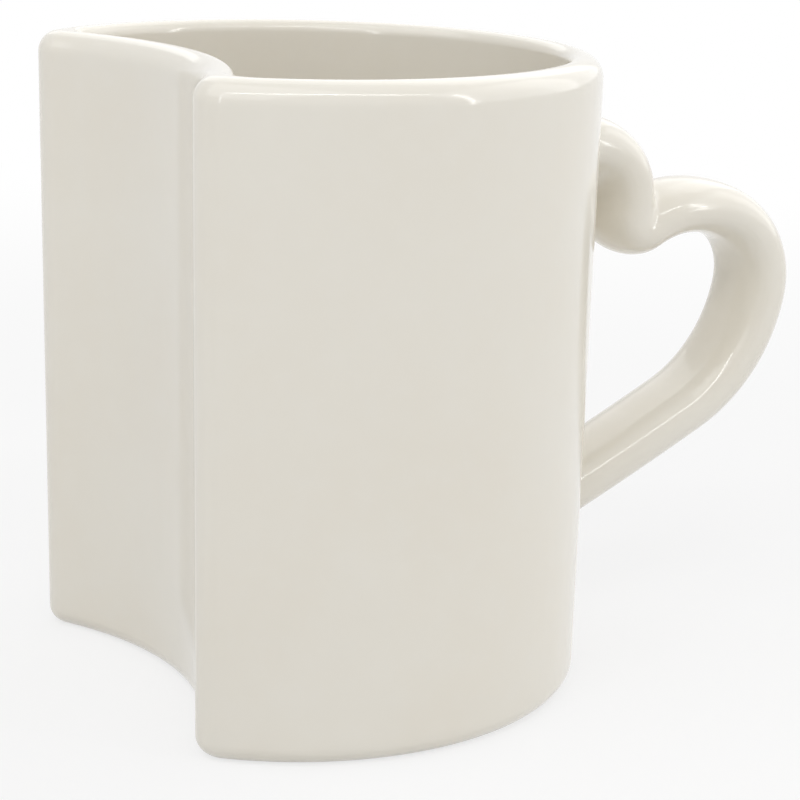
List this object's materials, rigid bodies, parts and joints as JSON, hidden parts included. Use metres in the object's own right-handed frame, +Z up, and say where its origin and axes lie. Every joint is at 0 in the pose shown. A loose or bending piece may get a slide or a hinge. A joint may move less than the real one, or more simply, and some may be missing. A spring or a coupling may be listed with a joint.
{
  "type": "nesting mug with heart handle",
  "caption": "Ivory glazed mug, round with a full-height scoop down one side so another mug nests against it, and a heart-shaped strap handle opposite.",
  "frame": {"origin": "on the axis of the round wall, on the surface that the mug stands on", "axes": "+Z up, +X from the scoop to the handle, +Y across the handle's width"},
  "size_m": [0.1179, 0.089, 0.096],
  "materials": {
    "cup_glaze": "gloss",
    "handle_glaze": "gloss",
    "slip_glaze": "gloss"
  },
  "bodies": {
    "root": {"cup": "cup_glaze", "heart_handle": "handle_glaze", "upper_slip_joint": "slip_glaze", "lower_slip_joint": "slip_glaze"}
  },
  "joints": []
}
